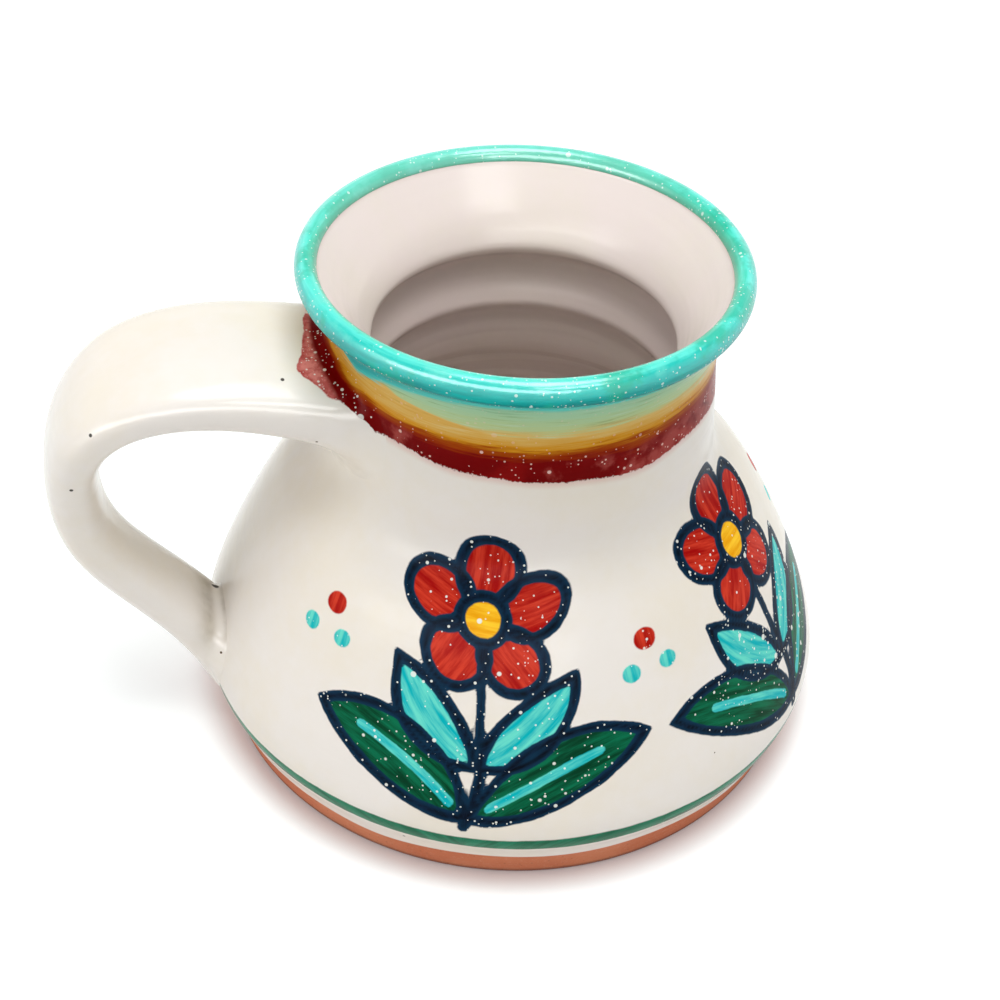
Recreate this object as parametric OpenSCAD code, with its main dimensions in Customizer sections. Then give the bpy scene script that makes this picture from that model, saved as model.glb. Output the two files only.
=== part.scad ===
// Wide-bottomed hand-thrown clay mug with a pulled strap handle, in millimetres.
// The origin is the middle of the foot, +Z is up and the handle points along -X.

/* [Body] */
// Height of the mug, to the top of the lip
mug_h = 94.3; // [85:0.1:105]
// Widest diameter, at the belly
belly_d = 115; // [105:1:125]
// Height of the widest diameter
belly_z = 13.2; // [11:0.2:18]
// How far the bare foot stands in from the belly, where it stands
foot_tuck = 4; // [2:0.1:8]
// Radius that eases the edge of the foot
foot_edge = 0.8; // [0.4:0.1:3]
// How far the lower edge of the glaze stands in from the belly
glaze_tuck = 2.3; // [1:0.1:4]
// Height of the bare clay below the glaze
glaze_line_z = 6.7; // [4:0.1:9]
// Diameter where the leaning flank turns towards the neck
shoulder_d = 83.4; // [78:0.2:90]
// Depth of that turn below the top of the lip
shoulder_drop = 45.8; // [40:0.2:52]
// Lean of the flank at the shoulder, from upright, in degrees
flank_lean = 41; // [34:1:46]
// Diameter of the neck at its foot
neck_d = 68; // [64:1:74]
// Depth where the neck becomes upright below the top of the lip
neck_drop = 32.3; // [28:0.1:37]
// Diameter of the neck at its waist, under the lip
waist_d = 66; // [62:1:72]
// Depth of the waist below the top of the lip
waist_drop = 14.9; // [11:0.1:19]
// Thickness of the thrown wall with its glaze
wall = 5.6; // [4:0.2:7]
// Thickness of the floor with its glaze
floor_t = 7; // [5:0.5:9]

/* [Lip] */
// Diameter over the rolled lip
lip_d = 77.2; // [74:0.2:82]
// Width of the lip across its roll
lip_w = 3.8; // [3:0.2:6]
// Height of the roll
lip_h = 4.6; // [4:0.2:6]

/* [Glaze] */
// Thickness of every glaze coat
glaze_t = 0.5; // [0.4:0.1:0.8]

/* [Handle] */
// How far the middle of the strap stands out past the belly
handle_reach = 20.9; // [14:0.5:30]
// Drop of the upper joint below the waist
root_drop = 6.6; // [4:0.2:11]
// Rise of the strap as it leaves the neck, in degrees
root_rise = 19; // [10:1:25]
// Drop of the lower joint below the widest height
tail_drop = 0.4; // [0:0.2:2]
// Depth of the strap's middle inside the belly at the lower joint
tail_sink = 3.3; // [2:0.1:4.5]
// Slope of the strap as it meets the belly, in degrees
tail_slope = 64; // [52:1:68]
// Width of the strap at the neck
strap_root_w = 31; // [24:1:36]
// Width that the strap holds over its crown
strap_crown_w = 28; // [20:1:34]
// Width at the outermost point
strap_bend_w = 17; // [14:1:28]
// Width that the strap is drawn in to below that point
strap_low_w = 13; // [10:0.2:20]
// Width where the strap is pressed on to the belly
strap_tail_w = 20.6; // [14:0.2:26]
// Thickness of the strap at the neck
strap_root_t = 12.9; // [10:0.1:15]
// Thickness of the strap along its run
strap_t = 8.2; // [7:0.1:11]
// Thickness of the thinned tail inside the wall
tail_tip_t = 2.6; // [2:0.1:4]

/* [Luting coils] */
// Radius of the clay coil worked round the upper joint
upper_coil_r = 3; // [2:0.1:4]
// Radius of the clay coil worked round the lower joint
lower_coil_r = 1.8; // [1.4:0.1:2.6]

/* [Hidden] */

terracotta = "#b4724c";
luting_clay = "#c08461";
cream = "#e9e5da";
blush = "#e2d8ce";
turquoise = "#3fcdb8";

// Points on each stretch of the pot's outline, and facets of a full turn
stretch_points = 9;
turn_facets = 192;
// Rings on each half of the strap, points round it, and points round a coil
strap_rings = 15;
strap_sides = 24;
coil_sides = 8;

belly_r = belly_d / 2;
foot_r = belly_r - foot_tuck;
neck_r = neck_d / 2;
waist_r = waist_d / 2;
shoulder_z = mug_h - shoulder_drop;
neck_z = mug_h - neck_drop;
waist_z = mug_h - waist_drop;
belly = [belly_r, belly_z];
glaze_line = [belly_r - glaze_tuck, glaze_line_z];
foot_lean = (glaze_line - [foot_r, 0]) / norm(glaze_line - [foot_r, 0]);
flank_dir = [-sin(flank_lean), cos(flank_lean)];
flank_out = [cos(flank_lean), sin(flank_lean)];

// Lengths of the curve handles, as shares of the stretch that they shape
foot_curve_share = 0.42;
belly_curve_share = 0.15;
shoulder_curve_share = 0.22;
fillet_curve_share = 0.5;
neck_curve_share = 0.33;
flare_low_share = 0.5;
flare_high_share = 0.25;
funnel_curve_share = 0.5;

// The roll of the lip: an ellipse, glazed turquoise between two angles
lip_mid = [(lip_d - lip_w) / 2, mug_h - lip_h / 2];
lip_half = [lip_w / 2, lip_h / 2];
lip_start = -60;
lip_paint_end = 170;
lip_end = 180;
floor_fillet = belly_z - floor_t;

// Points of a cubic curve from a to d, with b and c as its handles, without the last one
function curve(a, b, c, d, n) =
    [for (i = [0 : n - 1]) let (t = i / n, s = 1 - t)
        s * s * s * a + 3 * s * s * t * b + 3 * s * t * t * c + t * t * t * d];

// Points of an elliptic arc about mid, from angle a to angle b, without the last one
function arc(mid, half, a, b, n) =
    [for (i = [0 : n - 1]) let (t = a + (b - a) * i / n)
        mid + [half[0] * cos(t), half[1] * sin(t)]];

function backwards(list) = [for (i = [len(list) - 1 : -1 : 0]) list[i]];
function part_of(list, first, last) = [for (i = [first : last]) list[i]];
function unit(v) = v / norm(v);

// The wall from the belly up to the waist, moved inwards by inset
function wall_line(inset) =
    let (b = belly - [inset, 0],
         s = [shoulder_d / 2, shoulder_z] - inset * flank_out,
         n = [neck_r - inset, neck_z],
         w = [waist_r - inset, waist_z],
         rise = s[1] - b[1],
         turn = fillet_curve_share * (n[1] - s[1]),
         run = [0, neck_curve_share * (w[1] - n[1])])
    concat(
        curve(b, b + [0, belly_curve_share * rise], s - shoulder_curve_share * rise * flank_dir, s,
              stretch_points),
        curve(s, s + turn * flank_dir, n - [0, turn], n, stretch_points),
        curve(n, n + run, w - run, w, stretch_points));

// The outside, from the glaze line to the underside of the lip
lip_under = lip_mid + [lip_half[0] * cos(lip_start), lip_half[1] * sin(lip_start)];
lip_under_dir = unit([-lip_half[0] * sin(lip_start), lip_half[1] * cos(lip_start)]);
foot_pull = foot_curve_share * (belly_z - glaze_line_z);
flare_rise = lip_under[1] - waist_z;
outside = concat(
    curve(glaze_line, glaze_line + foot_pull * foot_lean, belly - [0, foot_pull], belly,
          stretch_points),
    wall_line(0),
    curve([waist_r, waist_z], [waist_r, waist_z + flare_low_share * flare_rise],
          lip_under - flare_high_share * flare_rise * lip_under_dir, lip_under, stretch_points));

// The turquoise part of the lip
roll = arc(lip_mid, lip_half, lip_start, lip_paint_end, 2 * stretch_points);

// The inside, from the inner edge of the turquoise down to the middle of the floor
funnel_top = lip_mid - [lip_half[0], 0];
funnel_foot = [waist_r - wall, waist_z];
funnel_pull = [0, funnel_curve_share * (funnel_top[1] - funnel_foot[1])];
floor_mid = [belly_r - wall - floor_fillet, belly_z];
inside = concat(
    arc(lip_mid, lip_half, lip_paint_end, lip_end, 3),
    curve(funnel_top, funnel_top - funnel_pull, funnel_foot + funnel_pull, funnel_foot,
          stretch_points),
    [funnel_foot],
    backwards(wall_line(wall)),
    part_of(arc(floor_mid, [floor_fillet, floor_fillet], 0, -90, stretch_points), 1,
            stretch_points - 1),
    [[floor_mid[0], floor_t], [0, floor_t]]);

// The whole glazed skin, and the clay one glaze thickness below it
skin = concat(outside, roll, inside);
last = len(skin) - 1;
roll_first = len(outside);
roll_last = len(outside) + len(roll);
function skin_dir(i) = unit(skin[min(i + 1, last)] - skin[max(i - 1, 0)]);
clay = [for (i = [0 : last]) let (d = i < last - 1 ? skin_dir(i) : [-1, 0])
            skin[i] + glaze_t * [-d[1], d[0]]];

// Outline of the bare foot, from its middle to the lower edge of the glaze
foot_line = concat([[0, 0]],
                   arc([foot_r - foot_edge, foot_edge], [foot_edge, foot_edge], -90, 0,
                       stretch_points));

// Clay and glaze outlines filled to the axis, to trim what is joined to the wall
clay_wall = part_of(clay, 0, roll_first);
glazed_wall = part_of(skin, 0, roll_first);
module clay_fill() {
    rotate_extrude($fn = turn_facets)
        polygon(concat(foot_line, clay_wall, [[0, clay_wall[roll_first][1]]]));
}
module glazed_fill() {
    rotate_extrude($fn = turn_facets)
        polygon(concat(foot_line, glazed_wall, [[0, glazed_wall[roll_first][1]]]));
}

// A coat between the skin and the clay, between two places on the skin
module coat(first, last) {
    rotate_extrude($fn = turn_facets)
        polygon(concat(part_of(skin, first, last), backwards(part_of(clay, first, last))));
}

// The strap's middle line as [distance out, height, width, thickness]
root_z = waist_z - root_drop;
tail_z = belly_z - tail_drop;
bend_height_share = 0.715;
crown_pull_share = 0.615;
bend_up_share = 0.357;
bend_down_share = 0.336;
tail_pull_share = 0.382;
root_depth_share = 0.35;
tail_tip_share = 0.12;
strap_rise = root_z - tail_z;
bend_out = belly_r + handle_reach;
root_dir = [cos(root_rise), sin(root_rise)];
tail_dir = [cos(tail_slope), sin(tail_slope)];
root = [neck_r, root_z];
bend = [bend_out, tail_z + bend_height_share * strap_rise];
tail = [belly_r - tail_sink, tail_z];
crown_pull = crown_pull_share * (bend_out - neck_r);
tail_pull = tail_pull_share * strap_rise;
function station(place, w, t) = [place[0], place[1], w, t];
strap_line = concat(
    [station(root - root_depth_share * neck_r * root_dir, strap_root_w, strap_root_t)],
    curve(station(root, strap_root_w, strap_root_t),
          station(root + crown_pull * root_dir, strap_crown_w, strap_t),
          station(bend + [0, bend_up_share * strap_rise], strap_crown_w, strap_t),
          station(bend, strap_bend_w, strap_t), strap_rings),
    curve(station(bend, strap_bend_w, strap_t),
          station(bend - [0, bend_down_share * strap_rise], strap_low_w, strap_t),
          station(tail + tail_pull * tail_dir, strap_low_w, strap_t),
          station(tail, strap_tail_w, strap_t), strap_rings),
    [station(tail, strap_tail_w, strap_t),
     station(tail - tail_tip_share * strap_rise * tail_dir, strap_tail_w, tail_tip_t)]);
strap_last = len(strap_line) - 1;

// Direction of the strap at a ring, in its own plane
function strap_dir(i) =
    let (step = strap_line[min(i + 1, strap_last)] - strap_line[max(i - 1, 0)])
    unit([step[0], step[1]]);

// A rounded oblong of half size 1, as a superellipse
section_power = 2.8;
function eased(v) = sign(v) * pow(abs(v), 2 / section_power);
section = [for (k = [0 : strap_sides - 1]) let (a = 360 * k / strap_sides)
              [eased(cos(a)), eased(sin(a))]];

// One ring of the strap, larger by coat on every side
function strap_ring(i, coat) =
    let (s = strap_line[i], d = strap_dir(i))
    [for (q = section)
        let (y = q[0] * (s[2] / 2 + coat), n = q[1] * (s[3] / 2 + coat))
        [-(s[0] - n * d[1]), y, s[1] + n * d[0]]];

// Two triangles for the face between two points of one ring and the same points of the next
function quad(a, b, c, d) = [[a, b, c], [a, c, d]];

// Faces between rings of points, which form a loop where wrap is true
function strip(rings, sides, wrap) =
    [for (i = [0 : rings - (wrap ? 1 : 2)], k = [0 : sides - 1])
        let (a = i * sides, b = ((i + 1) % rings) * sides, next = (k + 1) % sides)
        each quad(a + k, a + next, b + next, b + k)];

// The same faces for points that start later in the list, turned to look the other way
function lining(faces, start) = [for (f = faces) [f[0] + start, f[2] + start, f[1] + start]];

// Flat end of a tube of rings, and the end between an outer and an inner ring
function cap(start, sides) = [for (k = [1 : sides - 2]) [start, start + k, start + k + 1]];
function collar(outer, inner, sides) =
    [for (k = [0 : sides - 1]) let (next = (k + 1) % sides)
        each quad(outer + k, outer + next, inner + next, inner + k)];

strap_faces = strip(strap_last + 1, strap_sides, false);
strap_points = [for (i = [0 : strap_last]) each strap_ring(i, 0)];
coat_points = [for (i = [0 : strap_last]) each strap_ring(i, glaze_t)];
end_ring = strap_last * strap_sides;

// The clay strap, before it is trimmed to the wall
module strap() {
    polyhedron(
        points = strap_points,
        faces = concat(strap_faces, lining(cap(0, strap_sides), 0), cap(end_ring, strap_sides)));
}

// The coat on the strap, a tube one glaze thickness thick
module strap_coat() {
    inner = len(coat_points);
    polyhedron(
        points = concat(coat_points, strap_points),
        faces = concat(strap_faces,
                       lining(strap_faces, inner),
                       lining(collar(0, inner, strap_sides), 0),
                       collar(end_ring, inner + end_ring, strap_sides)));
}

// Where each line along the strap goes through the clay wall
clay_radius = [for (p = clay_wall) [p[1], p[0]]];
function outside_by(p) = norm([p[0], p[1]]) - lookup(p[2], clay_radius);
function crossing(a, b) = let (u = outside_by(a), v = outside_by(b)) a + (b - a) * u / (u - v);
function root_crossing(k, i = 0) =
    let (b = strap_ring(i + 1, 0)[k])
    outside_by(b) > 0 ? crossing(strap_ring(i, 0)[k], b) : root_crossing(k, i + 1);
function tail_crossing(k, i = strap_last) =
    let (a = strap_ring(i - 1, 0)[k])
    outside_by(a) > 0 ? crossing(a, strap_ring(i, 0)[k]) : tail_crossing(k, i - 1);
root_crease = [for (k = [0 : strap_sides - 1]) root_crossing(k)];
tail_crease = [for (k = [0 : strap_sides - 1]) tail_crossing(k)];

// A round coil along a closed line of points; along is the way through the loop
module coil(line, along, r) {
    count = len(line);
    rings = [for (k = [0 : count - 1])
                let (t = unit(line[(k + 1) % count] - line[(k + count - 1) % count]),
                     u = unit(cross(t, along)),
                     v = cross(u, t))
                [for (j = [0 : coil_sides - 1]) let (a = 360 * j / coil_sides)
                    line[k] + r * (cos(a) * u + sin(a) * v)]];
    polyhedron(points = [for (ring = rings) each ring], faces = strip(count, coil_sides, true));
}
module upper_coil() coil(root_crease, [-root_dir[0], 0, root_dir[1]], upper_coil_r);
module lower_coil() coil(tail_crease, [-tail_dir[0], 0, tail_dir[1]], lower_coil_r);

// The thrown pot, bare at the foot
module clay_body() {
    color(terracotta)
        rotate_extrude($fn = turn_facets)
            polygon(concat(foot_line, clay));
}

// The pulled strap, trimmed to the wall
module handle_strap() {
    color(terracotta)
        difference() {
            strap();
            clay_fill();
        }
}

// Soft clay worked into the corner round the upper joint, with its own glaze
module upper_joint_coil() {
    color(luting_clay)
        difference() {
            upper_coil();
            clay_fill();
            strap();
        }
}

// Soft clay worked into the corner round the lower joint, with its own glaze
module lower_joint_coil() {
    color(luting_clay)
        difference() {
            lower_coil();
            clay_fill();
            strap();
        }
}

// White coat of the outside, open where the strap and its coils are joined
module outer_glaze() {
    color(cream)
        difference() {
            coat(0, roll_first);
            strap();
            upper_coil();
            lower_coil();
        }
}

// Liner of the funnel, the neck and the hollow
module inner_glaze() {
    color(blush) coat(roll_last, last);
}

// White coat of the strap between the two coils
module handle_glaze() {
    color(cream)
        difference() {
            strap_coat();
            upper_coil();
            lower_coil();
            glazed_fill();
        }
}

// Turquoise coat of the lip
module rim_glaze() {
    color(turquoise) coat(roll_first, roll_last);
}

clay_body();
handle_strap();
upper_joint_coil();
lower_joint_coil();
outer_glaze();
inner_glaze();
handle_glaze();
rim_glaze();
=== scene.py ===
# %% [markdown]
# # A wide-bottomed clay mug
#
# A potter threw this mug on a wheel, pulled a strap handle for it, dipped it in white glaze and
# painted it with coloured glazes. The solids of the CAD frame already hold every size. This script
# gives them their looks: it turns finer surfaces over the same outline and paints them with nodes.
# All shapes are worked out in millimetres and put into Blender in metres.

import bpy
import numpy as np
from mathutils import Matrix, Vector


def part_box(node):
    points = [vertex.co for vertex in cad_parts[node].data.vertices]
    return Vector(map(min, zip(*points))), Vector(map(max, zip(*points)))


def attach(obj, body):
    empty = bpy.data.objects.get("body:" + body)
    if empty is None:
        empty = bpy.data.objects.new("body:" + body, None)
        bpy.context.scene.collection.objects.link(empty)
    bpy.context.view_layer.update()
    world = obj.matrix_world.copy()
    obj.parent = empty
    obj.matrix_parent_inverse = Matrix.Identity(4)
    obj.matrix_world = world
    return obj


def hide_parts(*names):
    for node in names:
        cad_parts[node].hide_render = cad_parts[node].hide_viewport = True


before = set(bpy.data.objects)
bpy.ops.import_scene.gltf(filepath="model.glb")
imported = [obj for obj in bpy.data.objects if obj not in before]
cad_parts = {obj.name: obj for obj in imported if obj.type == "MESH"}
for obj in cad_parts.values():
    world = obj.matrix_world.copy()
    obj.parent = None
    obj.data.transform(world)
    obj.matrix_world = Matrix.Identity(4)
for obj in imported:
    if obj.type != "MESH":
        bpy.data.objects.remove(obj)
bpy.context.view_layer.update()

# %% [markdown]
# ## Sizes
#
# The main sizes are read from the solids of the frame, so that the looks follow the part. The rest
# are the dimensions that shaped those solids, repeated here because the frame doesn't carry them.

# %% Sizes in millimetres
MM = 0.001


def corners_mm(node):
    """Lowest and highest corner of a CAD node in millimetres."""
    low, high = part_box(node)
    return np.array(low) / MM, np.array(high) / MM


lip_high = corners_mm("rim_glaze")[1]
coat_low, coat_high = corners_mm("outer_glaze")
mug_h, lip_r = lip_high[2], lip_high[0]
belly_r, glaze_line_z = coat_high[0], coat_low[2]
glaze_t = 0.5
floor_t = corners_mm("inner_glaze")[0][2] + glaze_t

belly_z, foot_tuck, glaze_tuck, foot_edge = 13.2, 4.0, 2.3, 0.8
shoulder_r, shoulder_z, flank_lean = 41.7, mug_h - 45.8, np.radians(41)
neck_r, neck_z = 34.0, mug_h - 32.3
waist_r, waist_z = 33.0, mug_h - 14.9
wall, lip_w, lip_h = 5.6, 3.8, 4.6
print(f"mug {mug_h:.1f} mm high, belly radius {belly_r:.2f}, lip radius {lip_r:.2f}, floor at {floor_t:.2f}")

# %% [markdown]
# ## The potter's outline
#
# A thrown pot is one outline turned about an axis. The outline is drawn as a few cubic curves that
# meet smoothly: foot to belly, the leaning flank, the turn into the neck, the neck, the flare under
# the lip, the rolled lip and the way back down inside. A drawn curve is kinder than a list of
# measured points, because each stretch keeps its own meaning and stays smooth at any fineness.


# %% Curves
def bow(a, b, c, d, count=40):
    """Cubic curve from a to d with handles b and c: s^3 a + 3 s^2 t b + 3 s t^2 c + t^3 d, s = 1 - t."""
    t = np.linspace(0, 1, count)[:, None]
    s = 1 - t
    a, b, c, d = (np.asarray(p, float) for p in (a, b, c, d))
    return s**3 * a + 3 * s**2 * t * b + 3 * s * t**2 * c + t**3 * d


def way(angle):
    """Direction at an angle in radians: (cos, sin)."""
    return np.array([np.cos(angle), np.sin(angle)])


def unit(lines):
    """The same directions with a length of 1."""
    return lines / np.linalg.norm(lines, axis=-1, keepdims=True)


def roll(start, end, count=40):
    """Stretch of the lip's ellipse between two angles in degrees: middle + half sizes times (cos, sin)."""
    return lip_mid + lip_half * way(np.radians(np.linspace(start, end, count))).T


def joined(*lines):
    """Lines that meet end to end, as one line without the doubled points."""
    return np.concatenate([lines[0]] + [line[1:] for line in lines[1:]])


def run_of(line):
    """Length along a line, from its start to each of its points."""
    return np.concatenate([[0], np.cumsum(np.linalg.norm(np.diff(line, axis=0), axis=1))])


def even(line, count):
    """The same line at count places that lie equally far apart along it."""
    run = run_of(line)
    at = np.linspace(0, run[-1], count)
    return np.stack([np.interp(at, run, column) for column in line.T], 1)


def inset(line, depth):
    """The line moved to its left by depth, square to its own direction."""
    step = unit(np.gradient(line, axis=0))
    return line + depth * np.stack([-step[:, 1], step[:, 0]], 1)


# %% The outline as (radius, height)
belly = np.array([belly_r, belly_z])
foot = np.array([belly_r - foot_tuck, 0])
glaze_line = np.array([belly_r - glaze_tuck, glaze_line_z])
foot_lean = unit(glaze_line - foot)
flank_way, flank_out = way(flank_lean + np.pi / 2), way(flank_lean)
lip_mid = np.array([lip_r - lip_w / 2, mug_h - lip_h / 2])
lip_half = np.array([lip_w / 2, lip_h / 2])
UP = np.array([0.0, 1.0])


def wall_line(depth):
    """The wall from the belly to the waist, moved inwards by depth: flank, turn into the neck, and neck."""
    low = belly - [depth, 0]
    turn = np.array([shoulder_r, shoulder_z]) - depth * flank_out
    base = np.array([neck_r - depth, neck_z])
    top = np.array([waist_r - depth, waist_z])
    rise, bend, climb = turn[1] - low[1], (base[1] - turn[1]) / 2, 0.33 * (top[1] - base[1])
    return joined(
        bow(low, low + 0.15 * rise * UP, turn - 0.22 * rise * flank_way, turn),
        bow(turn, turn + bend * flank_way, base - bend * UP, base),
        bow(base, base + climb * UP, top - climb * UP, top))


lip_under = roll(-60, -58, 2)
flare_way = unit(lip_under[1] - lip_under[0])
flare_rise = lip_under[0][1] - waist_z
foot_pull = 0.42 * (belly_z - glaze_line_z)
waist = np.array([waist_r, waist_z])
outside = joined(
    bow(glaze_line, glaze_line + foot_pull * foot_lean, belly - foot_pull * UP, belly),
    wall_line(0),
    bow(waist, waist + 0.5 * flare_rise * UP, lip_under[0] - 0.25 * flare_rise * flare_way, lip_under[0]))

floor_round = belly_z - floor_t
floor_edge = np.array([belly_r - wall - floor_round, floor_t])
quarter = np.linspace(0, -np.pi / 2, 20)
floor_corner = floor_edge + floor_round * (way(quarter).T + UP)

# %% [markdown]
# Inside, the mouth is a flaring funnel down to a narrow throat. Below it the potter's finger left a
# groove and a ridge, and under the ridge the wall swings out into the belly. Only these few places
# are given; the curves between them do the rest.

# %% The outline inside
funnel_top = lip_mid - [lip_half[0], 0]
throat, groove = np.array([26.2, mug_h - 16.0]), np.array([29.4, mug_h - 21.2])
ridge, neck_base = np.array([26.6, mug_h - 28.4]), np.array([neck_r - wall, neck_z])


def inwards(tilt):
    """Way down and in along a wall that faces up by tilt degrees."""
    return -way(np.radians(tilt))[::-1]


inside = joined(
    bow(funnel_top, funnel_top + 5.3 * inwards(37), throat - 4.6 * inwards(15), throat),
    bow(throat, throat + 1.7 * inwards(15), groove + 2.4 * UP, groove),
    bow(groove, groove - 2.6 * UP, ridge + [0.7, 2.0], ridge),
    bow(ridge, ridge - [0.25, 0.8], neck_base + 1.6 * UP, neck_base),
    wall_line(wall)[:79][::-1], floor_corner, np.array([floor_edge, [0.0, floor_t]]))
inside = even(inside, 400)
print(f"outline: outside {run_of(outside)[-1]:.1f} mm, inside {run_of(inside)[-1]:.1f} mm long")

# %% [markdown]
# ## The potter's hand
#
# A pot from the wheel is never quite true. This one's mouth tips a little towards its back and is a
# hair out of round. One gentle warp of space, the same for every piece, keeps the coats and the clay
# together; a warp for each piece would let them part or cross.

# %% One warp for every piece
mouth_lift, mouth_tip, mouth_shift, mouth_oval, slow_waver = 0.45, 1.75, -0.4, 0.0025, 0.0012
tip_side = np.radians(77)


def ease(x):
    """Smooth step: 0 up to 0, 1 from 1, and 3 x^2 - 2 x^3 between."""
    x = np.clip(x, 0, 1)
    return x * x * (3 - 2 * x)


def bell(az, middle, spread):
    """1 at an azimuth in degrees, falling off to both sides of it: exp(-(turn / spread)^2)."""
    turn = (np.degrees(az) - middle + 180) % 360 - 180
    return np.exp(-((turn / spread) ** 2))


def by_hand(points):
    """Points as the hand left them. Above the waist z changes by lift - tip cos(az - side), x by a small
    shift, and the radius swells by oval cos 2 az and a slow waver of a tenth of a millimetre."""
    x, y, z = np.moveaxis(points, -1, 0)
    az, r = np.arctan2(y, x), np.hypot(x, y)
    high = ease((z - waist_z) / (mug_h - waist_z)) * ease(r / waist_r)
    swell = 1 + high * mouth_oval * np.cos(2 * (az - tip_side)) + slow_waver * np.sin(3 * az + z / 17)
    rise = mouth_lift - mouth_tip * np.cos(az - tip_side)
    return np.stack([x * swell + high * mouth_shift, y * swell, z + high * rise], -1)


# %% [markdown]
# ## From grids to meshes
#
# Every piece is a grid of rings. A turned piece has one ring for each point of its outline; the
# handle has one for each step along its middle line. The rings close round, and the ends either meet
# each other, as on a coat with two sides, or close on a point.


# %% Mesh helpers
def azimuths(sides):
    """Azimuths of the sides of a turned piece. The seam lies under the handle."""
    return np.pi + 2 * np.pi * np.arange(sides) / sides


def polar(points):
    """Azimuth, radius and height of points."""
    x, y, z = np.moveaxis(points, -1, 0)
    return np.arctan2(y, x), np.hypot(x, y), z


def from_polar(az, r, z):
    """Points with these azimuths, radii and heights: x = r cos az, y = r sin az."""
    return np.stack(np.broadcast_arrays(r * np.cos(az), r * np.sin(az), z), -1)


def turned(line, sides):
    """An outline turned about Z."""
    return from_polar(azimuths(sides), line[:, :1], line[:, 1:])


def put(name, data):
    """New object with this data, in the scene."""
    made = bpy.data.objects.new(name, data)
    bpy.context.collection.objects.link(made)
    return made


def piece(name, rings, poles=None, marks=None):
    """Object from rings of points. Without poles the last ring joins the first; with poles each end
    ring closes on its own point. Marks are named values for every point of the rings."""
    rows, sides = rings.shape[:2]
    i, j = np.arange(rows if poles is None else rows - 1)[:, None], np.arange(sides)
    up, on = (i + 1) % rows, (j + 1) % sides
    quads = np.stack([i * sides + j, i * sides + on, up * sides + on, up * sides + j], -1).reshape(-1, 4)
    points, fans = rings.reshape(-1, 3), np.empty((0, 3), int)
    if poles is not None:
        first, last = len(points), len(points) + 1
        top = (rows - 1) * sides
        fans = np.concatenate([np.stack([0 * j + first, on, j], 1),
                               np.stack([top + j, top + on, 0 * j + last], 1)])
        points = np.concatenate([points, by_hand(np.asarray(poles, float))])
    mesh = bpy.data.meshes.new(name)
    mesh.vertices.add(len(points))
    mesh.vertices.foreach_set("co", (points * MM).ravel())
    corners = np.concatenate([quads.ravel(), fans.ravel()])
    starts = np.concatenate([4 * np.arange(len(quads)), quads.size + 3 * np.arange(len(fans))])
    mesh.loops.add(len(corners))
    mesh.loops.foreach_set("vertex_index", corners)
    mesh.polygons.add(len(starts))
    mesh.polygons.foreach_set("loop_start", starts)
    mesh.update(calc_edges=True)
    mesh.shade_smooth()
    for title, values in (marks or {}).items():
        values = np.concatenate([values.ravel(), np.full(len(points) - values.size, values.ravel()[-1])])
        mesh.attributes.new(title, "FLOAT", "POINT").data.foreach_set("value", values.astype(np.float32))
    made = put(name, mesh)
    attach(made, "root")
    print(f"{name}: {len(points)} points, {len(quads) * 2 + len(fans)} triangles")
    return made


# %% [markdown]
# ## White coat
#
# The pot was dipped in white glaze and held by its foot, so the coat ends in a soft, uneven roll just
# above the bare clay. It is a closed skin half a millimetre thick. Its outer side has the finest grid
# of all, because it carries the painting; its hidden back can do with every fifth row.

# %% Shape of the white coat
SIDES, coat_rows, back_step = 432, 184, 5


def coat_edge(az):
    """How far the glaze ran down past its mean edge, in millimetres: a few slow waves round the foot, and
    three places where it ran further."""
    waves = 0.35 + 0.3 * np.sin(2 * az + 0.7) + 0.22 * np.sin(5 * az + 2.1) + 0.1 * np.sin(11 * az)
    return waves + 0.45 * bell(az, 240, 30) + 0.45 * bell(az, 234, 8) + 1.2 * bell(az, 308, 12)


def run_down(points):
    """The coat's low edge, drawn down along the lean of the foot, fading out by the belly."""
    az, r, z = polar(points)
    down = coat_edge(az) * ease((belly_z - z) / (belly_z - glaze_line_z))
    return from_polar(az, r - down * foot_lean[0] / foot_lean[1], z - down)


lip_tuck = inset(roll(-60, -35, 12), np.linspace(0, 0.35, 12)[:, None])
coat_line = even(joined(outside, lip_tuck), coat_rows)
coat_back = inset(coat_line, glaze_t)[::back_step][::-1]
edge_turn = np.linspace(0, np.pi, 7)[1:-1, None]
edge_mid, edge_half = (coat_back[-1] + coat_line[0]) / 2, (coat_back[-1] - coat_line[0]) / 2
edge_roll = edge_mid + np.cos(edge_turn) * edge_half - glaze_t / 2 * np.sin(edge_turn) * foot_lean
coat_rings = by_hand(run_down(turned(np.concatenate([coat_line, coat_back, edge_roll]), SIDES)))

# %% [markdown]
# ## Painted sprigs
#
# The painting is a simple folk sprig, repeated round the flank with the handle's side left plain: an
# upright stem, a round blossom of five petals and two pairs of leaves, all drawn with a dark line.
# Each shape is a signed distance in millimetres over the unrolled flank, kept at every point of the
# coat. The material turns a distance into a brushed edge, which an image could not keep sharp.


# %% Distances for the brush
def almond(x, y, length, width):
    """Distance to a pointed leaf from the origin along x: the overlap of two equal discs."""
    disc = (length**2 / 4 + width**2 / 4) / width
    return np.hypot(x - length / 2, np.abs(y) + disc - width / 2) - disc


def oval(x, y, long, wide):
    """Distance to an oval of these half sizes, as k (k - 1) over the slope of k = |(x / long, y / wide)|."""
    k = np.hypot(x / long, y / wide)
    return k * (k - 1) / (np.hypot(x / long**2, y / wide**2) + 1e-6)


def from_place(u, v, place, angle):
    """The chart's u and v as seen from a place on it, with x turned to angle in degrees."""
    c, s = np.cos(np.radians(angle)), np.sin(np.radians(angle))
    return (u - place[0]) * c + (v - place[1]) * s, (v - place[1]) * c - (u - place[0]) * s


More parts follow.
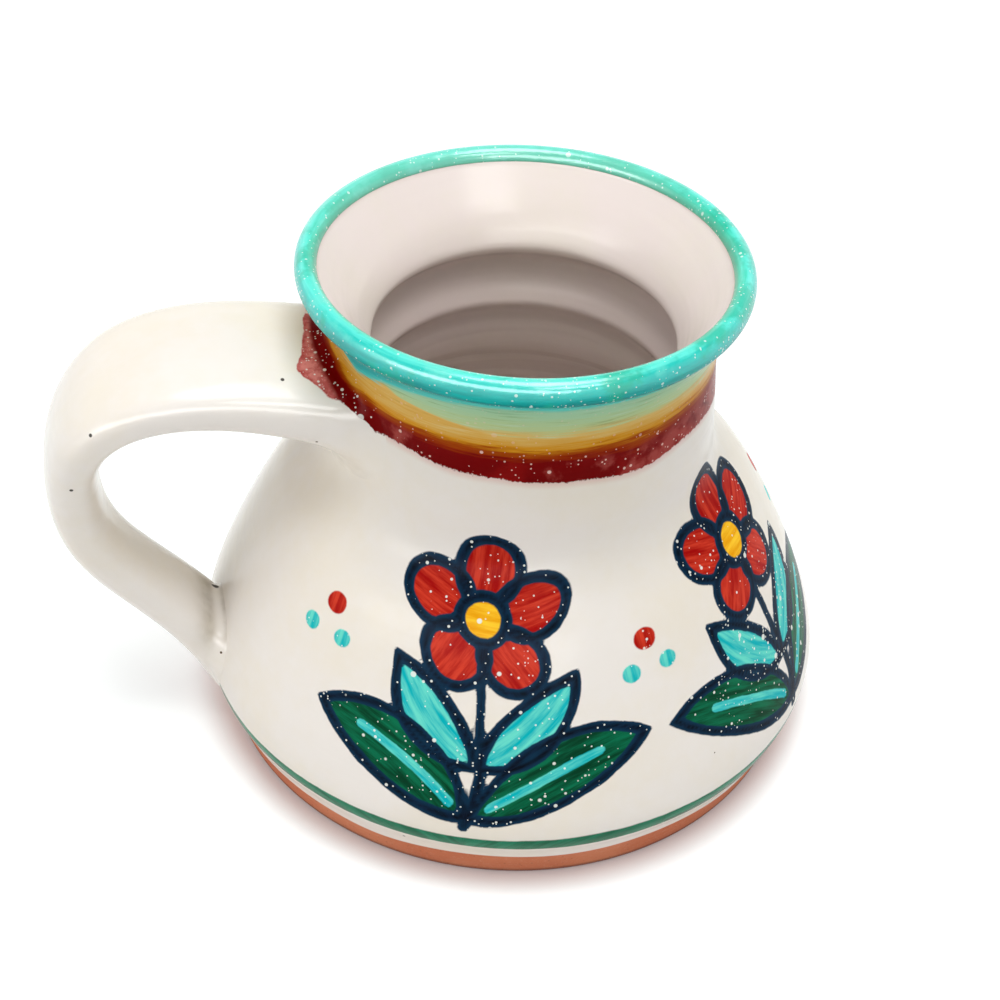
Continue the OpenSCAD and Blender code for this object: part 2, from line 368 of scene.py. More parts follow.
def leaf(u, v, place, angle, length, width, bend):
    """Distances to a leaf that bows to one side and to the rib along its middle, and the places along
    and across it."""
    x, y = from_place(u, v, place, angle)
    y = y - bend * 4 * (x / length) * (1 - x / length)
    rib = np.hypot(x - np.clip(x, 0.12 * length, 0.74 * length), y)
    return almond(x, y, length, width), rib, x, y


# %% [markdown]
# The chart of the flank has u round the pot, in millimetres at the height of each point, and v up
# the outline from the belly. Four sprigs stand a fifth of a turn apart, and the place for a fifth, at
# the handle, is left plain. Three dots each fill the gaps between them and beside the handle.

# %% Chart of the flank
FAR = 99.0
PAINTS = ("line_paint", "red_paint", "yellow_paint", "leaf_paint", "mint_paint")
STROKES = ("stroke_near", "stroke_along", "stroke_across")
az, climb = np.meshgrid(azimuths(SIDES), run_of(coat_line))
climb = climb - np.interp(belly_z, coat_line[:, 1], run_of(coat_line))
radius, height = (np.broadcast_to(column[:, None], az.shape) for column in coat_line.T)
painting = {name: np.full(az.shape, FAR) for name in PAINTS + STROKES}


def round_from(place):
    """How far each point lies round the pot from an azimuth, in millimetres to either side."""
    return ((az - place + np.pi) % (2 * np.pi) - np.pi) * radius


def lay(name, distance):
    """Lay a shape on the painting. Of each paint the nearest shape counts."""
    painting[name] = np.minimum(painting[name], distance)


def brush(name, distance, along, across):
    """Lay a shape, and keep the places along and across its brush strokes where it is the nearest one."""
    lay(name, distance)
    nearer = distance < painting["stroke_near"]
    for key, value in zip(STROKES, (distance, along, across)):
        painting[key] = np.where(nearer, value, painting[key])


# %% Sprigs and dots
line_half, blossom, sprig_size, stem_foot = 0.95, (0.0, 34.5), 1.08, 3.2


def outlined(name, distance, along, across):
    """Brush a shape of a sprig and draw the dark line along its edge."""
    brush(name, *(sprig_size * value for value in (distance, along, across)))
    lay("line_paint", sprig_size * (np.abs(distance) - line_half))


def sprig(u, v):
    """Paint one sprig, whose stem stands on v = 0 at u = 0. Its sizes are for a sprig_size of 1."""
    stem = np.hypot(u - 0.7 * np.sin(v / 6), v - np.clip(v, 0, 27)) - line_half * (1.15 - v / 60)
    lay("line_paint", sprig_size * stem)
    for side in (-1, 1):
        low, rib, x, y = leaf(side * u, v, (0.5, 1.5), 24, 29, 11.5, 2.4)
        outlined("leaf_paint", low, x + 60 * side, y)
        lay("mint_paint", sprig_size * (rib - 0.85))
        high, rib, x, y = leaf(side * u, v, (0.3, 10.5), 47, 20, 8.6, -1.3)
        outlined("mint_paint", high, x + 100 * side, y)
    for angle in 90 + 72 * np.arange(5):
        x, y = from_place(u, v, blossom, angle)
        outlined("red_paint", oval(x - 7.6, y, 5.3, 4.7), x + angle, y)
    x, y = from_place(u, v, blossom, 0)
    heart = oval(x, y, 3.7, 3.7)
    for name in ("red_paint", "line_paint"):
        painting[name] = np.maximum(painting[name], -sprig_size * heart)
    outlined("yellow_paint", heart, x, y)


for number, place in enumerate(np.radians([108, 252, 324, 36])):
    u = round_from(place) + 0.7 * np.sin(climb / 8 + 2 * number) + 0.3 * np.sin(climb / 3 + number)
    v = climb - stem_foot + 0.6 * np.sin(u / 7 + number) - 0.8 * np.cos(number * 1.7)
    sprig(u / sprig_size, v / sprig_size)
dots = (("red_paint", 0, 34.0, 2.1), ("mint_paint", -3.6, 28.6, 1.7), ("mint_paint", 3.6, 29.0, 1.7))
for place in np.radians([72, 288, 0, 144, 216]):
    for name, du, dv, size in dots:
        x, y = round_from(place) - du, climb - dv
        brush(name, oval(x, y, size, size * 0.92), y, x)

# %% [markdown]
# The bands were laid over the glaze of the neck, a little by eye. Each point keeps the height that
# counts for their colours, how thin the paint is, and where the green and the turquoise begin and end.

# %% Bands round the neck
band_low = mug_h - 22.0


def band_level(az, z, off):
    """Height over the low edge of the lowest band, which counts for the colours of the bands. That edge
    tips by 2.2 mm, lower in front and to the right; at the handle's root the bands climb on to the strap
    and end as they leave the wall."""
    tip = 2.2 * np.cos(az - np.radians(190)) + 0.2 * np.sin(7 * az) + 0.14 * np.sin(13 * az + 1)
    tip = tip + 1.5 * bell(az, 318, 20)
    near_root = np.exp(-(((az % (2 * np.pi) - np.pi) / 0.35) ** 2))
    lift = 2.5 * near_root * (1 - ease((z - mug_h + 12.3) / 5))
    return z - band_low - tip * (1 - ease((z - mug_h + 19.3) / 5)) - lift - 3 * np.maximum(off - 0.6, 0)


def amber_side(az, z):
    """1 on the handle's side of the neck, where the green band was not drawn. Its brush set down near 220
    degrees and lifted near 150, its lower hairs inside those places by 14 degrees for each millimetre."""
    low_hairs = 14 * np.clip(band_low + 12 - z, 0, 2)
    turn = np.degrees(az) % 360
    return ease((227 + low_hairs - turn) / 14) * ease((turn - 138 + low_hairs) / 24)


def lip_paint(az, z):
    """How far a place lies above the low edge of the lip's turquoise, which was drawn on under the lip and
    lower still just in front of the handle."""
    lower = 7 * bell(az, 185, 35) * ease((np.degrees(az) % 360 - 192) / 14)
    return z - band_low - 16.2 + lower


painting["lip_paint"] = lip_paint(az, height)
painting["band_level"] = band_level(az, height, 0)
painting["thin_paint"] = np.maximum(0.5 + 0.5 * np.cos(az - np.radians(335)), bell(az, 221, 9))
painting["amber_side"] = amber_side(az, height)
foot_mid = 11.9 - 0.25 * np.sin(az + 1) - 0.12 * np.sin(6 * az)
foot_half = 1.15 + 0.25 * np.cos(az - np.radians(300))
painting["foot_line"] = np.abs(height - foot_mid) - foot_half
back_count = len(coat_rings) - coat_rows
unpainted = {"band_level": -FAR, "lip_paint": -FAR}
painting = {name: np.concatenate([v, np.full((back_count, SIDES), unpainted.get(name, FAR))])
            for name, v in painting.items()}
white_coat = piece("white_coat", coat_rings, marks=painting)
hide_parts("outer_glaze")

# %% [markdown]
# ## Lip, liner and the clay itself
#
# The lip was rolled over and painted turquoise, and glaze was poured round inside. Both are skins on
# the same outline. Under them is the red clay, which shows only at the foot.

# %% Lip, liner and pot
lip_rows, lip_start, lip_end = 44, -70, 188
lip_turn = np.linspace(lip_start, lip_end, lip_rows)
lip_dive = 0.25 * (ease((-52 - lip_turn) / 18) + ease((lip_turn - 174) / 14))
lip_line = inset(roll(lip_start, lip_end, lip_rows), lip_dive[:, None])
lip_back = inset(lip_line, glaze_t)[::-3]
lip_rings = by_hand(turned(np.concatenate([lip_line, lip_back]), 360))
lip_angle = np.concatenate([lip_turn, np.full(len(lip_back), lip_end)])
lip_marks = {"lip_angle": np.broadcast_to(lip_angle[:, None], lip_rings.shape[:2])}
lip_band = piece("lip_band", lip_rings, marks=lip_marks)
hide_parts("rim_glaze")

liner_tuck = inset(roll(150, 180, 10), np.linspace(0.35, 0, 10)[:, None])
liner_line = joined(liner_tuck, inside[::2])
liner_back = inset(joined(liner_tuck, inside), glaze_t)[:-8:8][::-1]
liner_rings = by_hand(turned(np.concatenate([liner_back, liner_line]), 300))
liner = piece("liner", liner_rings, poles=[[0, 0, floor_t - glaze_t], [0, 0, floor_t]])
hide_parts("inner_glaze")

foot_corner = foot + foot_edge * (way(np.radians(np.linspace(-90, 0, 8))).T + [-1, 1])
clay_line = inset(joined(outside, roll(-60, 180), inside[:-8]), glaze_t)
base_line = np.stack([np.linspace(1, foot_corner[0][0], 24), np.zeros(24)], 1)
foot_side = even(np.array([foot_corner[-1], clay_line[0]]), 12)
pot_line = joined(base_line, foot_corner, foot_side, even(clay_line, 150))
pot = piece("thrown_pot", by_hand(turned(pot_line, 240)),
            poles=[[0, 0, 0], [0, 0, floor_t - glaze_t]])
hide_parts("clay_body")

# %% [markdown]
# ## Strap handle
#
# The handle is a strap of clay pulled by hand: wide at the neck, drawn in below its bend and pressed
# on to the belly. Its section is a rounded oblong, carried along a middle line of two cubic curves.
# Where it meets the pot the potter smoothed the corner with a finger. Each line along the strap
# therefore leaves the wall in a curve: a parabola from a place on the wall, drawn towards the corner,
# to a place on the strap. A boolean union would leave a hard crease there.

# %% Middle line and section of the strap
handle_reach, root_drop, root_rise = 20.9, 6.6, np.radians(19)
tail_drop, tail_sink, tail_slope = 0.4, 3.3, np.radians(64)
root_way, tail_way = way(root_rise), way(tail_slope)
root = np.array([neck_r, waist_z - root_drop])
tail = np.array([belly_r - tail_sink, belly_z - tail_drop])
strap_rise = root[1] - tail[1]
bend = np.array([belly_r + handle_reach, tail[1] + 0.715 * strap_rise])
crown_pull = 0.615 * (bend[0] - root[0])


def station(place, width, thickness):
    """A place on the strap's middle line, with the strap's width and thickness there."""
    return np.array([*place, width, thickness])


root_w, root_t, crown_w, bend_w, slim_w, tail_w = 31, 12.9, 28, 17, 13, 20.6
strap_t, tail_end_t, squareness = 8.2, 2.6, 2.8
upper = (station(root, root_w, root_t), station(root + crown_pull * root_way, crown_w, strap_t),
         station(bend + 0.357 * strap_rise * UP, crown_w, strap_t), station(bend, bend_w, strap_t))
lower = (station(bend, bend_w, strap_t), station(bend - 0.336 * strap_rise * UP, slim_w, strap_t),
         station(tail + 0.382 * strap_rise * tail_way, slim_w, strap_t), station(tail, tail_w, strap_t))
root_stub = station(root - 0.35 * neck_r * root_way, root_w, root_t)
tail_stub = station(tail - 0.12 * strap_rise * tail_way, tail_w, tail_end_t)
line_start, line_end = -0.4, 2.3
line_t = np.concatenate([[line_start], np.linspace(0, 2, 241), [line_end]])
strap_line = np.concatenate([[root_stub], joined(bow(*upper, 121), bow(*lower, 121)), [tail_stub]])
line_step = unit(np.gradient(strap_line[:, :2], axis=0))
line_run = run_of(strap_line[:, :2])


def walked(t, further):
    """Place on the strap's middle line that lies so many millimetres further on than t."""
    return np.interp(np.interp(t, line_t, line_run) + further, line_run, line_t)


def strap_at(t, a):
    """Point of the glazed strap at place t along it and angle a round it: out + n (-dz, dr) across the
    middle line and y to the side, with y and n a superellipse whose power is the squareness. Below the
    bend the potter's fingers drew in the strap's back edge, so y is a little less there."""
    out, up, width, thick = (np.interp(t, line_t, column) for column in strap_line.T)
    dr, dz = (np.interp(t, line_t, column) for column in line_step.T)
    c, s = np.cos(a), np.sin(a)
    half = width / 2 + glaze_t - np.interp(t, [0.6, 0.95, 1.5, 1.85], [0, 1.6, 1.6, 2.4]) * (c > 0)
    y = np.sign(c) * np.abs(c) ** (2 / squareness) * half
    n = np.sign(s) * np.abs(s) ** (2 / squareness) * (thick / 2 + glaze_t)
    return np.stack([-(out - n * dz), y, up + n * dr], -1)


def wall_r(z):
    """Radius of the glazed wall at a height."""
    return np.interp(z, outside[:, 1], outside[:, 0])


def off_wall(points):
    """How far points stand outside the glazed wall, measured level."""
    _, r, z = polar(points)
    return r - wall_r(z)


def on_wall(points, proud):
    """Points moved level on to the wall, and proud of it by a little."""
    az, _, z = polar(points)
    return from_polar(az, wall_r(z) + proud, z)


# %% Where the strap meets the wall
strap_sides, strap_rows, fillet_rows = 132, 150, 22
round_a = 2 * np.pi * (np.arange(strap_sides) + 0.5) / strap_sides
fine_t = np.linspace(line_start, line_end, 1400)
buried = off_wall(strap_at(fine_t[:, None], round_a)) < 0


def smoothed(values, spread):
    """Values round a ring, each the mean of its neighbours under a bell of this spread."""
    steps = np.arange(-3 * spread, 3 * spread + 1)
    weights = np.exp(-0.5 * (steps / spread) ** 2)
    return sum(w * np.roll(values, s) for w, s in zip(weights / weights.sum(), steps))


leaves_t = smoothed(np.max(np.where(buried & (fine_t < 0.8)[:, None], fine_t[:, None], -1), 0), 4)
lands_t = smoothed(np.min(np.where(buried & (fine_t > 1.2)[:, None], fine_t[:, None], 3), 0), 3)


def fillet(t, along, reach_wall, reach_strap, bead=0.0):
    """Rings of a smoothed corner, as a sum of two walks from the corner: up the strap to q^2 of its reach
    and out along the wall to (1 - q)^2 of its reach, with a bead of luting clay, bead sin(pi q), between
    the two. The first rings dip under the wall, so that no edge shows. Also the place along the strap
    where it ends, the sunk ring under it and the corner's middle."""
    start = strap_at(t, round_a)
    corner = on_wall(start, 0.0)
    middle = corner.mean(0)
    outward, onward = unit(corner - middle), unit(strap_at(walked(t, along), round_a) - start)
    q = np.linspace(0, 1, fillet_rows)[:, None]
    fade = (1 - q[..., None]) ** 2
    up_strap = strap_at(walked(t, along * reach_strap * q**2), round_a) - fade * (start - corner)
    proud = 0.04 - 0.16 * (1 - q) ** 6
    out_wall = on_wall(corner + fade * reach_wall[:, None] * outward, proud) - corner
    swell = (bead * np.sin(np.pi * q))[..., None] * (outward + onward) / np.sqrt(2)
    sunk = on_wall(corner + (reach_wall[:, None] + 0.6) * outward, -0.8)
    return up_strap + out_wall + swell, walked(t, along * reach_strap), sunk, middle


top_share = (1 + np.sin(round_a)) / 2
crotch_share = ease(-1.3 * np.sin(round_a)) * ease(1.3 * np.cos(round_a))
under_share = ease(1.3 * np.sin(round_a))
root_rings, root_end, root_sunk, root_middle = fillet(
    leaves_t, 1, 8.5 - 3.5 * top_share, 9.0 - 1.0 * top_share)
tail_rings, tail_end, tail_sunk, tail_middle = fillet(
    lands_t, -1, 1.8 - 1.4 * crotch_share - 1.0 * under_share, 3.2 - 2.6 * crotch_share - 1.2 * under_share,
    0.55 - 0.45 * crotch_share - 0.4 * under_share)
share = np.linspace(0, 1, strap_rows)[:, None]
run_rings = strap_at(root_end + (tail_end - root_end) * share, round_a)
strap_rings = np.concatenate([root_sunk[None], root_rings, run_rings[1:-1],
                              tail_rings[::-1], tail_sunk[None]])
poles = [root_middle * [0.93, 1, 1], tail_middle * [0.95, 1, 1]]

# %% [markdown]
# The strap keeps four marks for its finish: how far a point lies outside the smear of red, which ends
# along three lines over the root; how far it stands off the wall; the crease of the lower joint, where
# shade is painted; and the height that counts for the bands.

# %% Marks on the strap
strap_x, strap_y, strap_z = np.moveaxis(strap_rings, -1, 0)
strap_off = off_wall(strap_rings)
smear_side = strap_x - np.interp(strap_y, [-7.7, -5.8, -2.7, 4.2, 15], [-40, -39.3, -38.3, -37.4, -35.2])
smear_front = 0.3 + 0.7 * (strap_y - np.interp(strap_x, [-40, -34.8, -28.1], [-7.7, -13.3, -18.3]))
smear_under = 1.2 * (strap_z - np.interp(strap_x, [-42, -36, -32.8, -29], [80.2, 78.7, 77.6, 75.3]))
fillet_q = np.linspace(1, 0, fillet_rows)[:, None]
# Painted shade along the crease of the lower joint, fading out up the strap and towards the belly
painted_crease_shade = np.zeros(strap_x.shape)
painted_crease_shade[-fillet_rows - 1:-1] = (np.exp(-(((fillet_q - 1) / 0.25) ** 2))
                               + 0.8 * np.exp(-(((fillet_q - 0.15) / 0.2) ** 2)))
# the painted shade also runs a few rows up the strap from the joint
shade_rows = 14
above_joint = np.arange(shade_rows, 0, -1)[:, None]
painted_crease_shade[-fillet_rows - 1 - shade_rows:-fillet_rows - 1] = np.exp(-((above_joint / 5) ** 2))
painted_crease_shade *= ease((strap_z - 18) / 6.5)
strap_marks = {"smear": -np.minimum(np.minimum(smear_side, smear_front), smear_under),
               "off_wall": strap_off, "painted_crease_shade": painted_crease_shade,
               "band_level": band_level(np.arctan2(strap_y, strap_x), strap_z, strap_off)}
strap_coat = piece("strap_coat", by_hand(strap_rings[:, ::-1]), poles=poles,
                   marks={name: v[:, ::-1] for name, v in strap_marks.items()})
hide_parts("handle_glaze", "handle_strap", "upper_joint_coil", "lower_joint_coil")

# %% [markdown]
# ## Nodes
#
# The finishes are node materials on Object coordinates, turned to millimetres so that every grain
# and speckle has a real size. Short helpers keep the wiring readable. A socket knows the tree that it
# belongs to, so most helpers only take sockets and numbers, and give the socket with their result.


# %% Node helpers
def tint(red, green, blue):
    """A screen colour, 0 to 255, as the linear colour that a shader works with."""
    c = np.array([red, green, blue]) / 255
    c = np.where(c <= 0.04045, c / 12.92, ((c + 0.055) / 1.055) ** 2.4)
    return (*c, 1.0)


def feed(node, inputs):
    """Give a node its inputs, each a value or the socket of another node."""
    for name, value in inputs.items():
        if isinstance(value, bpy.types.NodeSocket):
            node.id_data.links.new(value, node.inputs[name])
        else:
            node.inputs[name].default_value = value


def add_node(tree, kind, inputs=None, **settings):
    """Outputs of a new shader node of this kind, with its settings and inputs."""
    made = tree.nodes.new("ShaderNode" + kind)
    for name, value in settings.items():
        setattr(made, name, value)
    feed(made, inputs or {})
    return made.outputs


def fed(kind, inputs, **settings):
    """Outputs of a new node in the tree of the sockets that feed it."""
    tree = next(value.id_data for value in inputs.values() if isinstance(value, bpy.types.NodeSocket))
    return add_node(tree, kind, inputs, **settings)


def maths(operation, *values, clamp=False):
    """Result of a sum on sockets or numbers."""
    return fed("Math", dict(enumerate(values)), operation=operation, use_clamp=clamp)[0]


def times(one, other):
    """Product of two sockets or numbers."""
    return maths("MULTIPLY", one, other)


def larger(first, *others):
    """Largest of some sockets or numbers."""
    for other in others:
        first = maths("MAXIMUM", first, other)
    return first


def stray(value, streak, reach):
    """A value that strays with a noise about 0.5: value + reach (streak - 0.5)."""
    return maths("MULTIPLY_ADD", maths("SUBTRACT", streak, 0.5), reach, value)


def vectors(operation, *values):
    """Outputs of a sum on places."""
    return fed("VectorMath", dict(enumerate(values)), operation=operation)


def stretched(place, scales):
    """A place whose three directions are scaled apart, so that noise on it runs in streaks."""
    return vectors("MULTIPLY", place, scales)[0]


def axis(place, number):
    """One of the three numbers of a place: 0 for x, 1 for y, 2 for z."""
    return fed("SeparateXYZ", {0: place})[number]


def blended(share, under, over):
    """Colour under, covered by colour over to the given share. Three numbers are a screen colour."""
    under, over = (tint(*c) if isinstance(c, tuple) and len(c) == 3 else c for c in (under, over))
    return fed("Mix", {0: share, 6: under, 7: over}, data_type="RGBA")[2]


def layered(colour, *layers):
    """A colour under layers of paint, each a share and a colour, from the lowest up."""
    for share, shade in layers:
        colour = blended(share, colour, shade)
    return colour


def stepped(value, low, high, to_low=0.0, to_high=1.0):
    """A value that goes smoothly from to_low to to_high as its input goes from low to high."""
    return fed("MapRange", {0: value, 1: low, 2: high, 3: to_low, 4: to_high},
               interpolation_type="SMOOTHSTEP")[0]


def noise(place, scale, detail=3.0, rough=0.5):
    """A noise about 0.5 at a place in millimetres."""
    return fed("TexNoise", {"Vector": place, "Scale": scale, "Detail": detail, "Roughness": rough})[0]


def cells(place, scale):
    """Distance to the middle of the nearest cell of a Voronoi texture, and that cell's chance, 0 to 1."""
    made = fed("TexVoronoi", {"Vector": place, "Scale": scale})
    return made["Distance"], fed("SeparateColor", {0: made["Color"]})[0]


def ramp(value, low, high, stops):
    """A colour that runs through stops, each a value and a screen colour, as its input rises."""
    colour = fed("ValToRGB", {0: fed("MapRange", {0: value, 1: low, 2: high})[0]})[0]
    steps = colour.node.color_ramp.elements
    for end, (value, shade) in ((1, stops[-1]), (0, stops[0])):
        steps[end].position, steps[end].color = (value - low) / (high - low), tint(*shade)
    for value, shade in stops[1:-1]:
        steps.new((value - low) / (high - low)).color = tint(*shade)
    return colour


def spot(place, middle, reach):
    """1 in a spot of these half sizes about a place in millimetres, and 0 outside it."""
    off = vectors("SUBTRACT", place, middle)[0]
    far = vectors("LENGTH", stretched(off, tuple(1 / r for r in reach)))["Value"]
    return stepped(far, 0.7, 1.1, 1.0, 0.0)


def mark(place, name):
    """A named value kept at the points of the piece, in the tree of a place on it."""
    return add_node(place.id_data, "Attribute", attribute_name=name)["Fac"]


def group(name, inputs, outputs):
    """New node group that takes a place and further numbers and gives numbers: its tree, the sockets
    with what it takes and the node for what it gives."""
    tree = bpy.data.node_groups.new(name, "ShaderNodeTree")
    tree.interface.new_socket("Place", in_out="INPUT", socket_type="NodeSocketVector")
    for side, titles in (("INPUT", inputs), ("OUTPUT", outputs)):
        for title in titles:
            tree.interface.new_socket(title, in_out=side, socket_type="NodeSocketFloat")
    return tree, tree.nodes.new("NodeGroupInput").outputs, tree.nodes.new("NodeGroupOutput")


def place_group(made, **inputs):
    """Outputs of a group placed in a material, with its inputs given by name."""
    return fed("Group", inputs, node_tree=made)


# %% [markdown]
# Fired glaze is never one flat white. It pools and thins in soft clouds, waves a little and has a
# few pinholes where gas came through. One group gives these to every glazed piece.

# %% Glaze clouds, waves and pinholes
cloud_group, take, give = group("glaze_clouds", (), ("Cloud", "Wave", "Pinhole"))
place = take["Place"]
soft = times(noise(place, 0.035, 2.0, 0.45), 0.75)
cloud = maths("MULTIPLY_ADD", noise(place, 0.3, 3.0, 0.55), 0.25, soft)
rings = times(noise(stretched(place, (0.02, 0.02, 0.35)), 1.0, 2.0), 0.22)
wave = maths("MULTIPLY_ADD", noise(place, 0.12, 2.0), 0.5, rings)
distance, chance = cells(place, 0.11)
hole = maths("LESS_THAN", distance, stepped(chance, 0.55, 1.0, 0.0, 0.032))
feed(give, {"Cloud": stepped(cloud, 0.36, 0.64), "Wave": wave, "Pinhole": hole})

# %% [markdown]
# Where the coloured glazes lie thick, bubbles burst and left white specks, most of them under a
# millimetre. They come from the cells of three Voronoi textures: each cell draws a chance, and the
# lucky ones get a round speck of their own size.

# %% White specks in the paint
speck_group, take, give = group("paint_specks", ("Amount",), ("Speck",))
place = take["Place"]
crowd = stepped(noise(place, 0.09, 2.0), 0.36, 0.66, 0.35, 1.25)
amount = times(take["Amount"], crowd)
specks = []
for scale, size in ((0.36, 0.24), (0.85, 0.3), (1.7, 0.36)):
    distance, chance = cells(place, scale)
    ahead = maths("SUBTRACT", maths("ADD", chance, amount), 1.0)
    luck = maths("DIVIDE", ahead, amount, clamp=True)
    edge = times(maths("POWER", luck, 0.7), size)
    specks.append(stepped(maths("SUBTRACT", edge, distance), 0.0, 0.05))
feed(give, {"Speck": larger(*specks)})

# %% [markdown]
# A brush edge wavers and the paint is a little thicker along it. The group turns a distance in
# millimetres into the paint's cover and that darker rim.

# %% Brushed edge
brush_group, take, give = group("brushed_edge", ("Distance", "Waver"), ("Cover", "Rim"))
place = take["Place"]
slow = times(noise(place, 0.22, 1.0), 1.3)
waver = maths("MULTIPLY_ADD", noise(place, 0.8, 2.0), 0.7, slow)
distance = maths("MULTIPLY_ADD", maths("SUBTRACT", waver, 1.0), take["Waver"], take["Distance"])
feed(give, {"Cover": stepped(distance, -0.16, 0.16, 1.0, 0.0), "Rim": stepped(distance, -1.1, -0.1)})


# %% Start and end of a material
def finish(name):
    """New material, and the place on the piece in millimetres."""
    made = bpy.data.materials.new(name)
    made.use_nodes = True
    where = add_node(made.node_tree, "TexCoord")["Object"]
    return made, stretched(where, (1 / MM,) * 3)


def wear(thing, material, height, looks):
    """Give a piece its material: looks for the shader's inputs, and a height in millimetres as a bump."""
    bump = fed("Bump", {"Height": height, "Distance": MM, "Strength": 1.0})[0]
    feed(material.node_tree.nodes["Principled BSDF"], looks | {"Normal": bump})
    thing.data.materials.append(material)


def glaze_ground(place, warm, cool):
    """Colour of bare glaze with its clouds and pinholes, and the height of its waves."""
    clouds = place_group(cloud_group, Place=place)
    ground = blended(clouds["Cloud"], warm, cool)
    return blended(clouds["Pinhole"], ground, (92, 70, 52)), clouds["Wave"]


def paint_height(painted, wave):
    """Height in millimetres of a coat: its waves, and paint that lies a little proud."""
    return maths("MULTIPLY_ADD", painted, 0.03, times(wave, 0.35))


def specked(place, colour, amount, share, shade):
    """Colour with specks of a pale shade, more of them for a larger amount and fainter for a lower share."""
    speck = place_group(speck_group, Place=place, Amount=amount)["Speck"]
    return blended(times(speck, share), colour, shade)


WARM_WHITE, COOL_WHITE = (236, 228, 214), (238, 232, 225)

# %% [markdown]
# ## White glaze with its painting
#
# The painter worked on the raw glaze: leaves and petals first, the dark line last. Bare glaze shines,
# and paint dulls it.

# %% White glaze, painted
painted_glaze, place = finish("painted_white_glaze")
colour, wave = glaze_ground(place, WARM_WHITE, COOL_WHITE)
stroke_place = {0: mark(place, "stroke_along"), 1: mark(place, "stroke_across")}
stroke = fed("CombineXYZ", stroke_place)[0]
streak = noise(stretched(stroke, (0.09, 0.75, 1.0)), 1.0, 4.0, 0.6)
watered = stepped(streak, 0.35, 0.68)

layers = (("foot_line", (8, 98, 66), (28, 128, 92), 0.22),
          ("leaf_paint", (2, 60, 36), (10, 112, 76), 0.3),
          ("mint_paint", (0, 178, 186), (108, 222, 204), 0.3),
          ("red_paint", (164, 8, 6), (212, 62, 40), 0.3),
          ("yellow_paint", (238, 160, 6), (255, 206, 50), 0.3),
          ("line_paint", (4, 8, 18), (12, 28, 50), 0.35))
covers = []
for name, deep, pale, waver in layers:
    brushed = place_group(brush_group, Place=place, Distance=mark(place, name), Waver=waver)
    paint = blended(watered, deep, pale)
    if name == "line_paint":
        paint = blended(times(brushed["Rim"], 0.55), paint, (16, 62, 92))
    colour = blended(brushed["Cover"], colour, paint)
    if name != "foot_line":
        covers.append(brushed["Cover"])

# %% [markdown]
# The bands of the neck were laid on the turning wheel, so they run into each other in streaks round
# the pot: dark red, brown, amber and sage green. Beside the handle the green was left out, and just
# in front of it the lip's turquoise runs on down over the green.


# %% Bands of the neck
def neck_bands(place, under, thin, amber, lip, soaked):
    """Colour with the bands of the neck laid over it, and their cover. Thin paint turns pinkish, where
    amber is 1 the green band is missing, and where lip is above 0 the lip's turquoise runs on. Below the
    bands the glaze is stained by the share soaked."""
    level = mark(place, "band_level")
    streak = noise(stretched(place, (0.1, 0.1, 1.5)), 1.0, 4.0, 0.62)
    above_amber = larger(maths("SUBTRACT", level, 8.8), 0.0)
    no_green = stepped(stray(amber, streak, 1.4), 0.25, 0.75, 0.0, 0.85)
    kept = maths("SUBTRACT", level, times(above_amber, no_green))
    bands = ramp(stray(kept, streak, 5.0), 0.0, 18.0, (
        (0.0, (112, 0, 1)), (4.0, (120, 0, 1)), (5.1, (150, 44, 0)), (6.4, (166, 76, 4)),
        (7.4, (212, 146, 28)), (9.8, (220, 184, 104)), (11.3, (184, 202, 144)), (14.6, (158, 202, 164)),
        (17.8, (146, 198, 166))))
    patch = stepped(noise(place, 0.09, 3.0), 0.5, 0.72)
    pale_hairs, deep_hairs = stepped(streak, 0.56, 0.74), stepped(streak, 0.46, 0.3)
    run_on = stray(lip, streak, 3.0)
    turquoise = blended(stepped(run_on, 0.0, 2.4), (72, 200, 190), (4, 168, 170))
    wear_noise = maths("MULTIPLY_ADD", noise(place, 0.3, 4.0, 0.6), 1.2, thin)
    rubbed = stepped(wear_noise, 1.35, 1.65)
    bands = layered(
        bands,
        (times(patch, stepped(level, 5.0, 3.0, 0.0, 0.6)), (158, 20, 16)),
        (times(pale_hairs, stepped(level, 8.0, 11.0, 0.0, 0.4)), (222, 222, 196)),
        (times(deep_hairs, stepped(level, 9.0, 12.0, 0.0, 0.5)), (92, 152, 110)),
        (stepped(run_on, -0.7, 0.5), turquoise),
        (times(rubbed, stepped(level, 6.0, 3.0, 0.0, 0.55)), (186, 88, 80)))
    bubbles = maths("SUBTRACT", noise(place, 2.0, 2.0), 0.5)
    below = maths("SUBTRACT", bubbles, level)
    cover = place_group(brush_group, Place=place, Distance=below, Waver=0.4)["Cover"]
    halo = stepped(level, -1.6, 0.0, 0.0, soaked)
    return layered(under, (halo, (206, 120, 116)), (cover, bands)), cover


thin = mark(place, "thin_paint")
colour, banded = neck_bands(place, colour, thin, mark(place, "amber_side"), mark(place, "lip_paint"), 0.3)
painted = larger(*covers, banded)

# %% Specks, gloss and waves of the white coat
few = stepped(mark(place, "band_level"), 5.0, 8.0, 0.85, 0.3)
amount = maths("MULTIPLY_ADD", thin, 0.12, 0.16)
speck_colour = blended(banded, (238, 240, 232), (236, 200, 188))
wear(white_coat, painted_glaze, paint_height(painted, wave), {
    "Base Color": specked(place, colour, amount, times(painted, few), speck_colour),
    "Roughness": stepped(painted, 0.0, 1.0, 0.2, 0.26),
    "Specular IOR Level": stepped(painted, 0.0, 1.0, 0.1, 0.03)})
